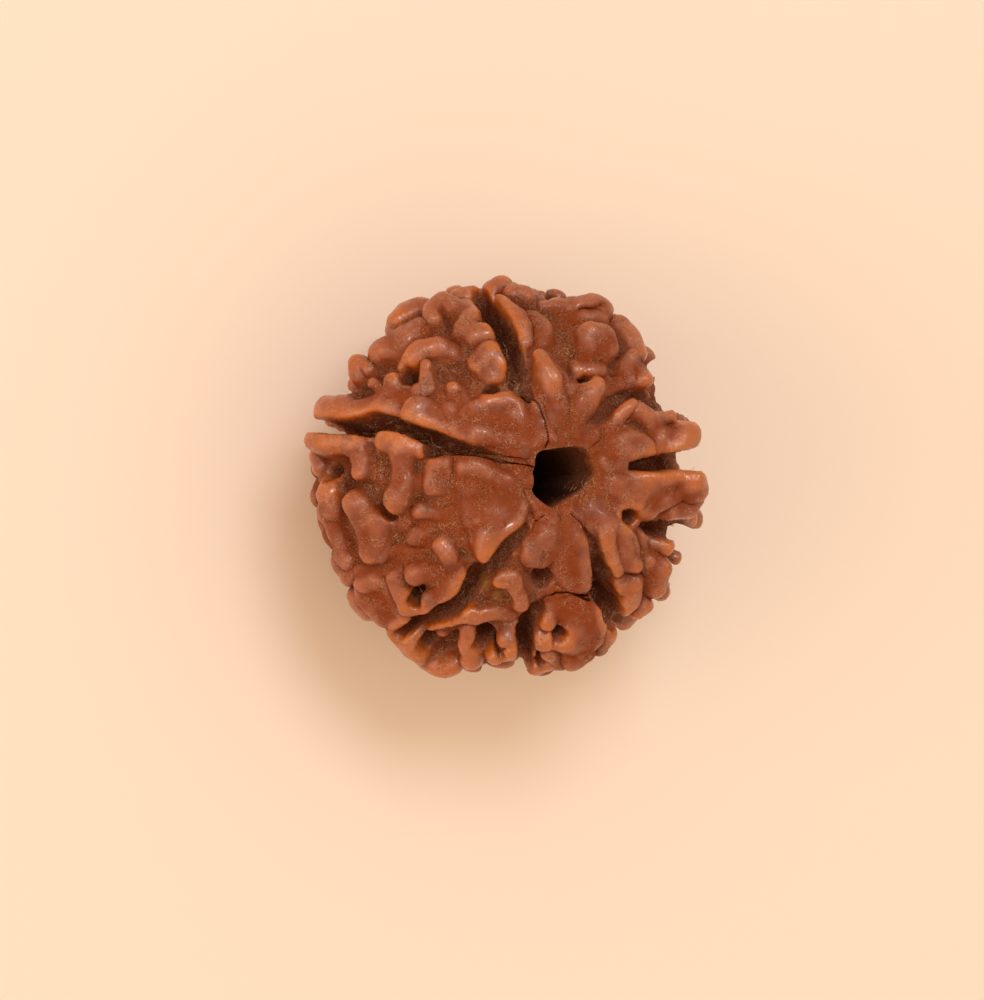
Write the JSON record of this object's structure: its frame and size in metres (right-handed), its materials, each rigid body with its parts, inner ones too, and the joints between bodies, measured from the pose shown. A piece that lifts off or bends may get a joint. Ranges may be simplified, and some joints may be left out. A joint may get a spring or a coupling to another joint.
{
  "type": "rudraksha seed",
  "caption": "Dried rudraksha seed, slightly flattened and round, with wandering rounded ridges and deep clefts, bored along its axis for a cord.",
  "frame": {"origin": "middle of the seed's box, at the level of the crests that it stands on", "axes": "+Z along the bore, +Y towards the top of the picture"},
  "size_m": [0.0264, 0.0246, 0.0199],
  "materials": {
    "seed_shell": "waxy satin"
  },
  "bodies": {
    "root": {"seed": "seed_shell"}
  },
  "joints": []
}
